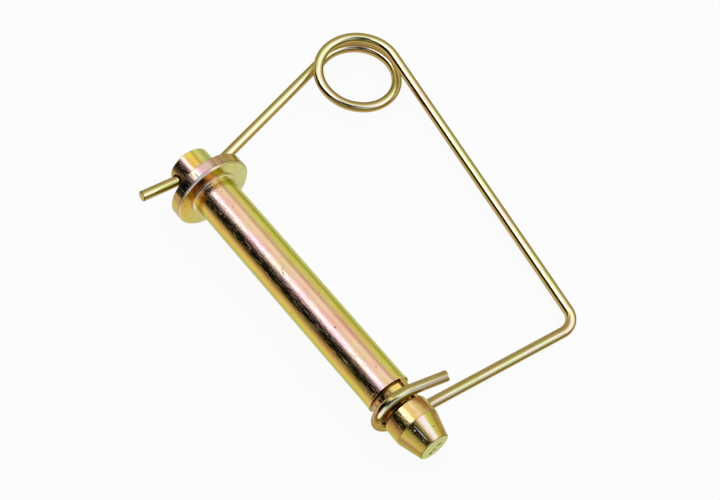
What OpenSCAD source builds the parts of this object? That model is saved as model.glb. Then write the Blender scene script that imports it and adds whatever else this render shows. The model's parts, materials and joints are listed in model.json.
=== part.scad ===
// Hitch pin with a spring wire safety clip.
// A round steel pin with a collar, a short head above it and a grooved, tapered nose. A spring wire passes
// through a cross-hole in the head, turns once round in a coil, runs beside the pin and hooks into the groove.
// The pin lies on a flat surface, held up by the rim of its collar and by the hook under its groove.
// Origin: centre of the seating face, the low step under the collar, on the pin's axis.
// +X towards the nose, +Y towards the coil, +Z up.

/* [Shank] */
// Diameter of the shank
shank_d = 16; // [13:0.5:18]
// Usable length, from the seating face under the collar to the groove
grip_len = 97.2; // [70:0.1:130]

/* [Groove] */
// Width of the groove along the pin
groove_w = 8.4; // [7.5:0.1:10]
// Depth of the groove's floor below the shank
groove_depth = 1; // [0.6:0.05:1.5]
// Run of the groove's sloping sides along the pin
groove_side = 0.3; // [0.1:0.1:0.6]
// Arc left unpressed between the groove's two ends, in degrees
bridge_arc = 22; // [10:1:40]
// Depth by which the pressing draws that arc down
bridge_drop = 0.2; // [0.16:0.02:0.5]
// Height of the ridge that the groove raises beside it
ridge_h = 0.2; // [0.05:0.05:0.25]
// Width of the ridge on the shank's side
ridge_w = 1.4; // [0.8:0.1:3]

/* [Nose] */
// Straight length of the nose beyond the groove
nose_straight = 6.6; // [4:0.1:12]
// Length of the nose's taper
nose_taper = 8.6; // [5:0.1:14]
// Diameter of the flat end of the nose
tip_d = 11.5; // [8:0.1:12.5]
// Edge break at the flat end of the nose
tip_break = 0.3; // [0.1:0.05:0.6]

/* [Collar] */
// Diameter of the collar
collar_d = 29.5; // [24:0.5:36]
// Thickness of the collar
collar_t = 4.5; // [3:0.1:6]
// Edge break at the collar's seating face
collar_break = 0.55; // [0.2:0.05:0.8]
// Diameter of the low step round the shank, under the collar
step_d = 18.9; // [18.5:0.1:22]
// Height of that step
step_h = 0.8; // [0.3:0.1:1.5]

/* [Head] */
// Diameter of the head above the collar
head_d = 15.5; // [12:0.5:17]
// Length of the head above the collar
head_len = 11; // [9.5:0.1:16]
// Edge break at the head's end
head_break = 0.5; // [0.2:0.05:0.8]
// Diameter of the cross-hole for the wire
hole_d = 5.4; // [5.1:0.1:6]
// Distance from the head's end to the centre of the cross-hole
hole_from_end = 4.5; // [4:0.1:5]
// Turn of the cross-hole about the pin, its coil side down, in degrees
hole_roll = 9; // [5:1:12]

/* [Wire] */
// Diameter of the spring wire
wire_d = 3.8; // [3.2:0.1:4.2]
// Length of wire that stands out of the head on the side away from the coil
stub_out = 14.4; // [8:0.1:20]
// Lean of the wire in its loose hole, towards the nose on the coil side, in degrees
wire_lean = 3.3; // [1:0.1:4]
// Distance from the head to the first bend, on the coil side
head_bend_out = 2.6; // [2.2:0.1:6]
// Radius of the first bend, at the wire's centre
head_bend_r = 6; // [4:0.5:10]

/* [Coil] */
// Diameter of the coil, at the wire's centre
coil_d = 29.9; // [22:0.1:36]
// Rise of the coil for each full turn
coil_pitch = 5.8; // [5.2:0.1:8]
// Distance from the pin's axis out to the coil's centre
coil_out = 76.1; // [60:0.1:100]
// Distance from the cross-hole back to the coil's centre
coil_back = 5.5; // [0:0.1:15]
// Fall of the coil's plane towards the nose and away from the pin, for each unit of length
coil_fall = 0.1; // [0.06:0.01:0.12]
// Gap between the coil's lowest wire and the surface that the pin lies on
coil_gap = 0.05; // [0:0.05:0.5]

/* [Long leg] */
// Distance from the pin's axis out to the corner
corner_out = 70.7; // [55:0.1:95]
// Distance that the corner lies beyond the middle of the groove
corner_past = 10.9; // [4:0.1:20]
// Radius of the corner, at the wire's centre
corner_r = 6.5; // [4:0.5:12]

/* [Hook] */
// Clearance between the hook and the groove's floor
hook_gap = 0.1; // [0.05:0.05:0.3]
// Distance that the hook's lower bend lies beyond the middle of the groove
hook_low = 0.9; // [0:0.1:0.9]
// Distance that the hook's upper bend lies beyond the middle of the groove
hook_high = 0.6; // [-1:0.1:0.9]
// Distance from the pin's axis, on the coil side, at which the wire on top turns towards the nose
crest_out = 2.5; // [2:0.1:4]
// Distance that this turn lies beyond the middle of the groove
crest_past = 1.5; // [0:0.1:1.6]
// Radius of this slight turn, at the wire's centre
crest_r = 12; // [8:0.5:14]
// Distance that the free end lies beyond the middle of the groove
end_past = 5.1; // [3:0.1:5.5]
// Distance of the free end from the pin's axis, on the coil side
end_out = 16.4; // [12:0.1:25]

/* [Hidden] */
$fn = 96;

shank_r = shank_d / 2;
collar_r = collar_d / 2;
head_r = head_d / 2;
wire_r = wire_d / 2;

// Places along the pin's axis, from the seating face towards the nose.
collar_under = -step_h;
collar_top = collar_under - collar_t;
head_top = collar_top - head_len;
hole_at = head_top + hole_from_end;
groove_end = grip_len + groove_w;
groove_mid = grip_len + groove_w / 2;
taper_at = groove_end + nose_straight;
tip_at = taper_at + nose_taper;

floor_r = shank_r - groove_depth;
ridge_r = shank_r + ridge_h;
// The unpressed arc starts, in degrees from the top towards the coil, where the straight wire above clears it.
bridge_from = acos(floor_r / shank_r);
ridge_slope = ridge_w / 3;
bridge_r = shank_r - bridge_drop;
hook_r = floor_r + wire_r + hook_gap;
hook_low_at = groove_mid + hook_low;
hook_high_at = groove_mid + hook_high;

// How the pin lies: it rests on the edge of its collar and, through the hook, on the wire under its groove.
rim_at = collar_under - collar_break;
rest_span = hook_low_at - rim_at;
rest_reach = sqrt(rest_span * rest_span + (collar_r - hook_r) * (collar_r - hook_r));
lay_tilt = atan2(collar_r - hook_r, rest_span) - asin(wire_r / rest_reach);
table_z = -(collar_r * cos(lay_tilt) - rim_at * sin(lay_tilt));

// The pin's own directions: along it to the nose, across it to the coil side, and up from it.
along = [cos(lay_tilt), 0, -sin(lay_tilt)];
across = [0, 1, 0];
up = [sin(lay_tilt), 0, cos(lay_tilt)];

// A point given by its place along, across and above the pin's axis.
function on_pin(at, out, rise) = along * at + across * out + up * rise;
function unit(v) = v / norm(v);

// The wire in the cross-hole: the hole's own direction, then the wire leaning in it.
hole_dir = across * cos(hole_roll) - up * sin(hole_roll);
stub_dir = hole_dir * cos(wire_lean) + along * sin(wire_lean);
hole_mid = on_pin(hole_at, 0, 0);
stub_end = hole_mid - stub_dir * (head_r + stub_out);
head_bend = hole_mid + stub_dir * (head_r + head_bend_out);
corner = [groove_mid + corner_past, corner_out, table_z + wire_r];

// The coil's own directions: it slopes down towards the nose and away from the pin.
coil_up = unit([coil_fall, coil_fall, 1]);
coil_x = unit([1, 0, -coil_fall]);
coil_y = cross(coil_up, coil_x);
coil_r = coil_d / 2;

// Angles of the two tangents on the coil seen from above, and the clockwise turn between them.
function in_coil(p, mid) = [(p - mid) * coil_x, (p - mid) * coil_y];
function bearing(v) = atan2(v.y, v.x);
function tangent_turn(v) = acos(coil_r / norm(v));
function arrive(mid) = bearing(in_coil(head_bend, mid)) - tangent_turn(in_coil(head_bend, mid));
function depart(mid) = bearing(in_coil(corner, mid)) + tangent_turn(in_coil(corner, mid));
function wind(mid) = (arrive(mid) - depart(mid) + 720) % 360 + 360;

// A point that has gone round t of the coil's equal bends, at a distance r from its middle.
coil_bends = 10;
function bend_turn(mid) = wind(mid) / coil_bends;
function coil_at(mid, t, r) =
    let (a = arrive(mid) - t * bend_turn(mid))
    mid + (coil_x * cos(a) + coil_y * sin(a)) * r + coil_up * (t * bend_turn(mid) / 360 * coil_pitch);

// The coil's height is set by its lowest wire, which just clears the surface.
coil_flat = [along.x * hole_at - coil_back, coil_out, table_z + wire_r];
coil_low = min([for (t = [0 : 0.1 : coil_bends]) coil_at(coil_flat, t, coil_r).z]);
coil_mid = coil_flat + [0, 0, table_z + wire_r + coil_gap - coil_low];

// The wire's route from the stub to the free end: its corners, and the bend radius at each.
low_bend = on_pin(hook_low_at, -hook_r, -hook_r);
high_bend = on_pin(hook_high_at, -hook_r, hook_r);
crest = on_pin(groove_mid + crest_past, crest_out, hook_r);
free_end = on_pin(groove_mid + end_past, end_out, hook_r);
bend_ease = 0.97;
// A leg laps a little way into the bends at its ends, and is a hair slimmer so that it stays inside them.
leg_lap = 0.3;
leg_shy = 0.03;
apex_r = coil_r / cos(bend_turn(coil_mid) / 2);
coil_route = [for (k = [0 : coil_bends - 1]) coil_at(coil_mid, k + 0.5, apex_r)];
route = concat([stub_end, head_bend], coil_route, [corner, low_bend, high_bend, crest, free_end]);
coil_radii = [for (k = [1 : coil_bends]) coil_r * bend_ease];
hook_bend_r = hook_r * bend_ease;
radii = concat([0, head_bend_r], coil_radii, [corner_r, hook_bend_r, hook_bend_r, crest_r, 0]);
last = len(route) - 1;

// Direction of leg i, the turn at corner i and the length of leg that the bend there takes up.
function leg_dir(i) = unit(route[i + 1] - route[i]);
function turn_at(i) = acos(leg_dir(i - 1) * leg_dir(i));
function bend_take(i) = (i == 0 || i == last) ? 0 : radii[i] * tan(turn_at(i) / 2);

// Length of leg i between its bends, and how far it runs on into the bend at corner i.
function leg_length(i) = norm(route[i + 1] - route[i]) - bend_take(i) - bend_take(i + 1);
function lap_at(i) = (i == 0 || i == last) ? 0 : leg_lap;

// One straight leg of the wire, between the bends at corners i and i + 1.
module straight(i) {
    d = leg_dir(i);
    translate(route[i] + d * (bend_take(i) - lap_at(i)))
        rotate([0, acos(d.z), atan2(d.y, d.x)])
            cylinder(h = leg_length(i) + lap_at(i) + lap_at(i + 1), r = wire_r - leg_shy);
}

// One round bend of the wire at corner i, from the end of one leg to the start of the next.
module bend(i) {
    y = leg_dir(i - 1);
    x = -unit(leg_dir(i) - y * (leg_dir(i) * y));
    z = cross(x, y);
    centre = route[i] - y * bend_take(i) - x * radii[i];
    translate(centre)
        rotate([atan2(y.z, z.z), -asin(x.z), atan2(x.y, x.x)])
            rotate_extrude(angle = turn_at(i)) translate([radii[i], 0]) circle(r = wire_r);
}

// Lays a shape made along +Z along the pin, with its own -X side on top.
module lay() {
    rotate([0, 90 + lay_tilt, 0]) children();
}

// Half outline of the pin before the groove is pressed and the cross-hole drilled.
module pin_outline() {
    polygon([
        [0, head_top],
        [head_r - head_break, head_top],
        [head_r, head_top + head_break],
        [head_r, collar_top],
        [collar_r, collar_top],
        [collar_r, collar_under - collar_break],
        [collar_r - collar_break, collar_under],
        [step_d / 2, collar_under],
        [step_d / 2, 0],
        [shank_r, 0],
        [shank_r, grip_len - ridge_w],
        [ridge_r, grip_len - ridge_w + ridge_slope],
        [ridge_r, grip_len + groove_side],
        [bridge_r, grip_len + groove_side + ridge_slope],
        [bridge_r, groove_end - groove_side - ridge_slope],
        [ridge_r, groove_end - groove_side],
        [ridge_r, taper_at],
        [tip_d / 2, tip_at - tip_break],
        [tip_d / 2 - tip_break, tip_at],
        [0, tip_at]
    ]);
}

// Cross-section of the groove, cut well past the shank's surface.
module groove_section() {
    past = shank_r + 1;
    side = groove_side * (past - floor_r) / (shank_r - floor_r);
    polygon([
        [floor_r, grip_len + groove_side],
        [past, grip_len + groove_side - side],
        [past, groove_end - groove_side + side],
        [floor_r, groove_end - groove_side]
    ]);
}

module pin_body() {
    color([0.80, 0.68, 0.30])
        lay()
            difference() {
                rotate_extrude() pin_outline();
                rotate([0, 0, 180 - bridge_from]) rotate_extrude(angle = 360 - bridge_arc) groove_section();
                translate([0, 0, hole_at])
                    rotate([0, 0, -hole_roll])
                        rotate([90, 0, 0]) cylinder(h = collar_d, d = hole_d, center = true);
            }
}

module wire_clip() {
    color([0.84, 0.74, 0.42])
        union() {
            for (i = [0 : last - 1]) straight(i);
            for (i = [1 : last - 1]) bend(i);
        }
}

pin_body();
wire_clip();
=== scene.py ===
"""Hitch pin with a spring wire clip: models both pieces, plates them and sets the stage."""

import json
import math

import bmesh
import bpy
from mathutils import Matrix, Vector


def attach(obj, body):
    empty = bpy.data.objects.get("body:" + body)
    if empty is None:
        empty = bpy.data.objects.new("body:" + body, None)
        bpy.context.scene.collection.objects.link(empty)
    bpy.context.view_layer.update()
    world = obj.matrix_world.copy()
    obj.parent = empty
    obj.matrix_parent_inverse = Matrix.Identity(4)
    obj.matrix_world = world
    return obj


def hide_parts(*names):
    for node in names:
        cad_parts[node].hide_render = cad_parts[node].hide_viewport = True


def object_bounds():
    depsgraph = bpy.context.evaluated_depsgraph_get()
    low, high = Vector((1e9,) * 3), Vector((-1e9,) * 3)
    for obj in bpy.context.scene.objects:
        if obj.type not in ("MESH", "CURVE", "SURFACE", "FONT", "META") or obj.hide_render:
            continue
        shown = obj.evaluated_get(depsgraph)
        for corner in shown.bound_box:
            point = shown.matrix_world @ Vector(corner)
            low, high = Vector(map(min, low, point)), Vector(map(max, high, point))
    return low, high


bl_info = {
    "name": "Hitch Pin Workshop",
    "version": (1, 0, 0),
    "blender": (4, 5, 0),
    "location": "3D View > Sidebar > Hitch Pin",
    "description": "Models and plates a round hitch pin with its spring wire clip",
    "category": "Object",
}

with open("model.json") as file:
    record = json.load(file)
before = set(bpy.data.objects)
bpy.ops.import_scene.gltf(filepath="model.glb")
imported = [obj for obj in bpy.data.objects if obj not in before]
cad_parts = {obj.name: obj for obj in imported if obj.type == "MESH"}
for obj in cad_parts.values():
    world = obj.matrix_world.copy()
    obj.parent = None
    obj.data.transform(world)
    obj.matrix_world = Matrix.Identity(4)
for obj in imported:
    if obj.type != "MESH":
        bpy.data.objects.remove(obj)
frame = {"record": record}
CAD_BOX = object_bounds()
MM = 0.001

# The pin's own directions and the wire's hole, as the packed record states them.
SHANK = frame["record"]["mounts"][0]
SWING = frame["record"]["behaviour"]["joints"][0]
ALONG = Vector(SHANK["axis"]).normalized()
ACROSS = Vector((0.0, 1.0, 0.0))
UP = ALONG.cross(ACROSS).normalized()
LAY_TILT = math.atan2(-ALONG.z, ALONG.x)
HOLE_MID = Vector(SWING["pos_m"])
HOLE_DIR = -Vector(SWING["axis"]).normalized()
TABLE_Z = CAD_BOX[0][2]
LAY = Matrix.Rotation(LAY_TILT, 4, "Y")

# Where the room is darkest, the way the wire's painted highlight faces, and its near side square to that,
# where the wire's painted dark line lies.
DARK_WAY = Vector((0.616, -0.788, 0.0))
PAINTED_HIGHLIGHT_WAY = Vector((0.54, -0.29, 0.79)).normalized()
PAINTED_DARK_LINE_WAY = (DARK_WAY - PAINTED_HIGHLIGHT_WAY * DARK_WAY.dot(PAINTED_HIGHLIGHT_WAY)).normalized()


def length(name, description, default):
    """A length property, in metres, written in millimetres here."""
    return bpy.props.FloatProperty(
        name=name, description=description, default=default * MM, min=0.0, unit="LENGTH", precision=5
    )


def angle(name, description, default):
    """An angle property, written in degrees here."""
    return bpy.props.FloatProperty(
        name=name, description=description, default=math.radians(default), unit="ROTATION"
    )


def colour(name, description, default):
    """A plain colour property."""
    return bpy.props.FloatVectorProperty(
        name=name, description=description, default=default, size=3, min=0.0, max=1.0, subtype="COLOR"
    )


def amount(name, description, default, top=1.0):
    """A bare number property."""
    return bpy.props.FloatProperty(name=name, description=description, default=default, min=0.0, max=top)


def position(name, description, default):
    """A point in the scene, in metres."""
    return bpy.props.FloatVectorProperty(
        name=name, description=description, default=default, size=3, unit="LENGTH", subtype="TRANSLATION"
    )


class HitchPinSizes(bpy.types.PropertyGroup):
    """Sizes of the turned and pressed steel pin"""

    shank_d: length("Shank", "Diameter of the plain shank", 16.0)
    grip_len: length("Grip", "Length from the seating face to the groove", 97.2)
    groove_w: length("Groove width", "Width of the groove along the pin", 8.4)
    groove_depth: length("Groove depth", "Depth of the groove's floor below the shank", 1.0)
    groove_side: length("Groove side", "Run of the groove's sloping sides", 0.3)
    bridge_arc: angle("Bridge", "Arc left unpressed between the groove's two ends", 22.0)
    bridge_drop: length("Bridge drop", "Depth by which the pressing draws the bridge down", 0.2)
    ridge_h: length("Ridge height", "Height of the ridge raised beside the groove", 0.2)
    ridge_w: length("Ridge width", "Width of the ridge on the shank's side", 1.4)
    nose_straight: length("Nose", "Straight length of the nose beyond the groove", 6.6)
    nose_taper: length("Taper", "Length of the nose's taper", 8.6)
    tip_d: length("Tip", "Diameter of the flat end of the nose", 11.5)
    tip_break: length("Tip edge", "Edge break at the flat end of the nose", 0.3)
    collar_d: length("Collar", "Diameter of the collar", 29.5)
    collar_t: length("Collar thickness", "Thickness of the collar", 4.5)
    collar_break: length("Collar edge", "Edge break at the collar's seating side", 0.55)
    step_d: length("Step", "Diameter of the low step under the collar", 18.9)
    step_h: length("Step height", "Height of that step", 0.8)
    head_d: length("Head", "Diameter of the head above the collar", 15.5)
    head_len: length("Head length", "Length of the head above the collar", 11.0)
    head_break: length("Head edge", "Edge break at the head's end", 0.5)
    hole_d: length("Cross-hole", "Diameter of the hole for the wire", 5.4)
    edge_round: length("Edge rounding", "Radius of the tumbled edges", 0.16)


class ClipWireSizes(bpy.types.PropertyGroup):
    """Sizes of the bent spring wire"""

    wire_d: length("Wire", "Diameter of the wire", 3.8)
    stub_out: length("Stub", "Length of wire that stands out of the hole's far side", 14.4)
    wire_lean: angle("Lean", "Lean of the wire in its hole, towards the nose", 3.3)
    head_bend_out: length("Head bend", "Distance from the head to the corner of the first bend", 2.6)
    head_bend_r: length("Head bend radius", "Radius of the first bend at the wire's centre", 6.0)
    coil_d: length("Coil", "Diameter of the coil at the wire's centre", 29.9)
    coil_pitch: length("Coil pitch", "Rise of the coil in one turn", 5.8)
    coil_out: length("Coil distance", "Distance of the coil's middle from the pin's axis", 76.1)
    coil_back: length("Coil setback", "Distance of the coil's middle behind the cross-hole", 5.5)
    coil_fall: amount("Coil slope", "Slope of the coil towards the nose and away from the pin", 0.1)
    coil_gap: length("Coil gap", "Clearance between the coil and what it lies on", 0.05)
    corner_out: length("Corner distance", "Distance of the far corner from the pin's axis", 70.7)
    corner_past: length("Corner overrun", "Distance of the far corner beyond the groove", 10.9)
    corner_r: length("Corner radius", "Radius of the far corner", 6.5)
    hook_gap: length("Hook gap", "Clearance between the hook and the groove's floor", 0.1)
    hook_low: length("Hook low", "Distance of the hook's lower bend beyond the groove's middle", 0.9)
    hook_high: length("Hook high", "Distance of the hook's upper bend beyond the groove's middle", 0.6)
    crest_out: length("Crest distance", "Distance of the hook's crest from the pin's axis", 2.5)
    crest_past: length("Crest overrun", "Distance of the hook's crest beyond the groove's middle", 1.5)
    crest_r: length("Crest radius", "Radius of the bend at the hook's crest", 12.0)
    end_past: length("End overrun", "Distance of the free end beyond the groove's middle", 5.1)
    end_out: length("End distance", "Distance of the free end from the pin's axis", 16.4)
    end_round: length("End rounding", "Radius of the rounded edge at both cut ends", 0.35)


class PlatingLooks(bpy.types.PropertyGroup):
    """Colours and marks of the yellow chromate plating, with painted highlights and shade along edges and
    painted glints on flecks
    """

    streaks: amount("Streaks", "Strength of the fine lines along the steel", 0.5)
    roughness: amount("Roughness", "Roughness of the plated steel", 0.10)
    pink: colour("Pink", "Tint of the pink patches", (1.0, 0.82, 0.92))
    green: colour("Green", "Tint of the green patches", (0.90, 1.0, 0.72))
    streak: colour("Streak", "Tint of the drawn lines", (0.72, 0.62, 0.55))
    # The flecks' gold tint: the drawn lines' grain, and partly a painted glint in the dark band.
    fleck_and_glint: colour("Fleck", "Tint of the fine flecks in the drawn lines", (0.85, 0.70, 0.40))
    # Bare steel's tint: real scratches, and also painted highlights in the bright rings along edges.
    wear_and_highlight: colour("Worn", "Bare steel at worn edges and scratches", (0.95, 0.92, 0.84))
    # Colour of pits, and of the painted shade in the dark rings along edges.
    pit_and_edge_shade: colour("Pits", "Colour of pits and dark edges", (0.045, 0.030, 0.018))


class StageLooks(bpy.types.PropertyGroup):
    """Camera, lamps and floor"""

    camera_at: position("Camera", "Place of the camera", (0.29144, -0.16468, 0.48967))
    camera_aim: position("Aim", "Point that the camera looks at", (0.04175, 0.03148, -0.01479))
    lens: bpy.props.FloatProperty(
        name="Lens", description="Focal length of the camera", default=84.517, unit="CAMERA"
    )
    sky: amount("Sky", "Strength of the pale room", 1.0, 5.0)
    floor: colour("Floor", "Colour of the pale floor", (0.82, 0.82, 0.82))
    whiteness: amount("Whiteness", "Share of the floor's own white in what the camera sees", 0.93)
    dark: amount("Dark side", "Strength of the room behind the camera", 0.012)
    strip: amount("Strip lamp", "Power of the long lamp above, in watts", 1.25, 50.0)


# ---------------------------------------------------------------- helpers

def new_object(name, bm, materials):
    """Turns a bmesh into an object at the origin, with its materials."""
    mesh = bpy.data.meshes.new(name)
    bm.to_mesh(mesh)
    bm.free()
    for material in materials:
        mesh.materials.append(material)
    piece = bpy.data.objects.new(name, mesh)
    bpy.context.scene.collection.objects.link(piece)
    return piece


def rounded(points, radii, steps=4):
    """The corners of an open outline, each turned into a small arc."""
    out = [points[0]]
    for before, corner, after, r in zip(points, points[1:], points[2:], radii[1:]):
        back = (before - corner).normalized()
        on = (after - corner).normalized()
        turn = math.pi - back.angle(on)
        take = r * math.tan(turn / 2)
        if take < 1e-7:
            out.append(corner)
            continue
        start = corner + back * take
        middle = corner + (back + on).normalized() * (r / math.cos(turn / 2))
        arm = start - middle
        spin = turn if back.cross(on) > 0 else -turn
        for k in range(steps + 1):
            a = -spin * k / steps
            c, s = math.cos(a), math.sin(a)
            out.append(middle + Vector((arm.x * c - arm.y * s, arm.x * s + arm.y * c)))
    out.append(points[-1])
    return out


def keep_modifiers(piece):
    """Makes a piece's modifiers part of its mesh."""
    view = bpy.context.evaluated_depsgraph_get()
    shaped = piece.evaluated_get(view)
    mesh = bpy.data.meshes.new_from_object(shaped, preserve_all_data_layers=True, depsgraph=view)
    piece.modifiers.clear()
    old = piece.data
    piece.data = mesh
    bpy.data.meshes.remove(old)


def even_shading(piece):
    """Lets the wide faces lead the shading, so that small rounded edges don't bend it."""
    piece.data.set_sharp_from_angle(angle=math.radians(40.0))
    weigh = piece.modifiers.new("Even shading", "WEIGHTED_NORMAL")
    weigh.keep_sharp = True
    weigh.weight = 100
    keep_modifiers(piece)


def points_and_edges(geometry):
    """The points and the edges in what a bmesh operator made."""
    points = [g for g in geometry if isinstance(g, bmesh.types.BMVert)]
    edges = [g for g in geometry if isinstance(g, bmesh.types.BMEdge)]
    return points, edges


def edges_at(points):
    """The edges at some points, each once and always in the same order."""
    return list(dict.fromkeys(edge for point in points for edge in point.link_edges))


def smooth(edge_0, edge_1, x):
    """A smooth step from 0 at edge_0 to 1 at edge_1."""
    t = min(1.0, max(0.0, (x - edge_0) / (edge_1 - edge_0)))
    return t * t * (3.0 - 2.0 * t)


# ---------------------------------------------------------------- materials

def lay(tree, kind, inputs=None, **settings):
    """Adds a node with its settings, and links or fills its inputs."""
    node = tree.nodes.new("ShaderNode" + kind)
    for key, value in settings.items():
        setattr(node, key, value)
    for key, value in (inputs or {}).items():
        if isinstance(value, bpy.types.NodeSocket):
            tree.links.new(value, node.inputs[key])
        else:
            node.inputs[key].default_value = value
    return node


def maths(tree, operation, *values):
    """One Math node's result."""
    return lay(tree, "Math", dict(enumerate(values)), operation=operation).outputs[0]


def step(tree, source, low, high):
    """A value that eases from 0 at low to 1 at high."""
    inputs = {"Value": source, "From Min": low, "From Max": high}
    return lay(tree, "MapRange", inputs, interpolation_type="SMOOTHSTEP").outputs["Result"]


def blend(tree, factor, a, b, way="MIX"):
    """Two colours mixed by a factor."""
    mix = lay(tree, "Mix", data_type="RGBA", blend_type=way)
    for socket, value in zip((mix.inputs["Factor"], mix.inputs["A"], mix.inputs["B"]), (factor, a, b)):
        if isinstance(value, bpy.types.NodeSocket):
            tree.links.new(value, socket)
        else:
            socket.default_value = value if isinstance(value, float) else (*value, 1.0)
    return mix.outputs["Result"]


def noise(tree, place, scale, detail, roughness=0.5):
    """Plain noise at a place."""
    inputs = {"Vector": place, "Scale": scale, "Detail": detail, "Roughness": roughness}
    return lay(tree, "TexNoise", inputs).outputs["Fac"]


def stretched(tree, place, by):
    """A place whose directions are each scaled by their own number."""
    return lay(tree, "VectorMath", {0: place, 1: by}, operation="MULTIPLY").outputs["Vector"]


def parts(tree, vector):
    """A vector's X, Y and Z."""
    return lay(tree, "SeparateXYZ", {"Vector": vector}).outputs


def ramp(tree, factor, stops):
    """A colour ramp through stops of a place, red, green and blue."""
    node = lay(tree, "ValToRGB", {"Fac": factor})
    elements = node.color_ramp.elements
    while len(elements) > 1:
        elements.remove(elements[-1])
    for k, (place, *tint) in enumerate(stops):
        element = elements[0] if k == 0 else elements.new(place)
        element.position = place
        element.color = (*tint, 1.0)
    return node.outputs["Color"]


def new_group(name, inputs, outputs):
    """An empty shader node group with its named sockets."""
    tree = bpy.data.node_groups.new(name, "ShaderNodeTree")
    for socket, value in inputs.items():
        kind = "NodeSocketVector" if value is None else "NodeSocketFloat"
        made = tree.interface.new_socket(name=socket, in_out="INPUT", socket_type=kind)
        if value is not None:
            made.default_value = value
    for socket in outputs:
        tree.interface.new_socket(name=socket, in_out="OUTPUT", socket_type="NodeSocketFloat")
    return tree, tree.nodes.new("NodeGroupInput").outputs, tree.nodes.new("NodeGroupOutput").inputs


def built_once(name):
    """Lets a node group be built when it is first asked for, and found by its name later."""
    def wrap(build):
        return lambda: bpy.data.node_groups.get(name) or build(name)
    return wrap


@built_once("Colour bands")
def bands_group(name):
    """Where a point lies round the steel, drifting slowly along it, as the plating's colours and the painted
    reflections laid on them do.
    """
    inputs = {"Place": None, "Facing": 0.0, "Stretch": 0.05, "Drift": 0.1}
    tree, start, end = new_group(name, inputs, ["Band"])
    split = parts(tree, start["Place"])
    round_by = maths(tree, "ADD", maths(tree, "ARCTAN2", split["Y"], split["Z"]), start["Facing"])
    round_by = maths(tree, "DIVIDE", round_by, -2.0 * math.pi)
    round_by = maths(tree, "WRAP", round_by, 0.5, -0.5)
    wander = maths(tree, "SUBTRACT", noise(tree, start["Place"], 38.0, 2.0, 0.55), 0.5)
    wander = maths(tree, "MULTIPLY", wander, start["Drift"])
    stretch = maths(tree, "MULTIPLY", step(tree, split["X"], 0.02, 0.1), start["Stretch"])
    scale = maths(tree, "ADD", maths(tree, "SUBTRACT", 1.0, stretch), wander)
    tree.links.new(maths(tree, "MULTIPLY_ADD", round_by, scale, 0.5), end["Band"])
    return tree


@built_once("Drawn lines")
def lines_group(name):
    """Fine lines and short flecks that drawing and grinding leave along the steel."""
    tree, start, end = new_group(name, {"Place": None}, ["Height", "Streak", "Fleck"])
    long_way = stretched(tree, start["Place"], (160.0, 3000.0, 3000.0))
    short_way = stretched(tree, start["Place"], (240.0, 4200.0, 4200.0))
    broad = noise(tree, long_way, 0.28, 2.0)
    height = maths(tree, "MULTIPLY_ADD", broad, 0.3, noise(tree, long_way, 1.0, 3.0, 0.6))
    tree.links.new(height, end["Height"])
    tree.links.new(step(tree, broad, 0.42, 0.68), end["Streak"])
    tree.links.new(step(tree, noise(tree, short_way, 1.0, 2.0, 0.6), 0.59, 0.66), end["Fleck"])
    return tree


@built_once("Plating clouds")
def clouds_group(name):
    """Soft patches where the plating turns pink or green, and its fine grain."""
    inputs = {"Place": None, "Scale": 150.0, "Length": 0.3}
    tree, start, end = new_group(name, inputs, ["Pink", "Green", "Grain"])
    size = lay(tree, "CombineXYZ", {"X": start["Length"], "Y": 1.0, "Z": 1.0}).outputs["Vector"]
    cloud = noise(tree, stretched(tree, start["Place"], size), start["Scale"], 3.0)
    tree.links.new(step(tree, cloud, 0.48, 0.62), end["Pink"])
    tree.links.new(step(tree, cloud, 0.5, 0.37), end["Green"])
    tree.links.new(noise(tree, start["Place"], 1900.0, 2.0), end["Grain"])
    return tree


@built_once("Pits")
def pits_group(name):
    """Small dark pits scattered over the steel."""
    tree, start, end = new_group(name, {"Place": None, "Scale": 420.0, "Share": 0.12}, ["Pit"])
    cells = lay(tree, "TexVoronoi", {"Vector": start["Place"], "Scale": start["Scale"], "Randomness": 1.0})
    near = step(tree, cells.outputs["Distance"], 0.17, 0.07)
    pick = lay(tree, "SeparateColor", {"Color": cells.outputs["Color"]}).outputs["Red"]
    chosen = maths(tree, "LESS_THAN", pick, start["Share"])
    tree.links.new(maths(tree, "MULTIPLY", near, chosen), end["Pit"])
    return tree


@built_once("Mark")
def mark_group(name):
    """One long or round mark at a stated place, turn and size."""
    tree, start, end = new_group(name, dict.fromkeys(["Place", "At", "Turn", "Size"]), ["Mark"])
    own = {"Vector": "Place", "Location": "At", "Rotation": "Turn", "Scale": "Size"}
    own = {socket: start[source] for socket, source in own.items()}
    inside = lay(tree, "Mapping", own, vector_type="TEXTURE").outputs["Vector"]
    far = lay(tree, "VectorMath", {0: inside}, operation="LENGTH").outputs["Value"]
    tree.links.new(step(tree, far, 1.0, 0.55), end["Mark"])
    return tree


@built_once("Edge ring")
def ring_group(name):
    """A narrow ring round the steel at a stated place along it."""
    tree, start, end = new_group(name, {"Place": None, "At": 0.0, "Half": 0.0002}, ["Ring"])
    off = maths(tree, "SUBTRACT", parts(tree, start["Place"])["X"], start["At"])
    off = maths(tree, "DIVIDE", maths(tree, "ABSOLUTE", off), start["Half"])
    tree.links.new(step(tree, off, 1.0, 0.6), end["Ring"])
    return tree


def placed(tree, group, **inputs):
    """A node group's outputs, once it is placed with its inputs."""
    return lay(tree, "Group", inputs, node_tree=group).outputs


# How far the pin's colour bands, with their painted highlight and painted dark band, are turned from
# straight up towards -Y.
FACING = math.radians(20.9)
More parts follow.
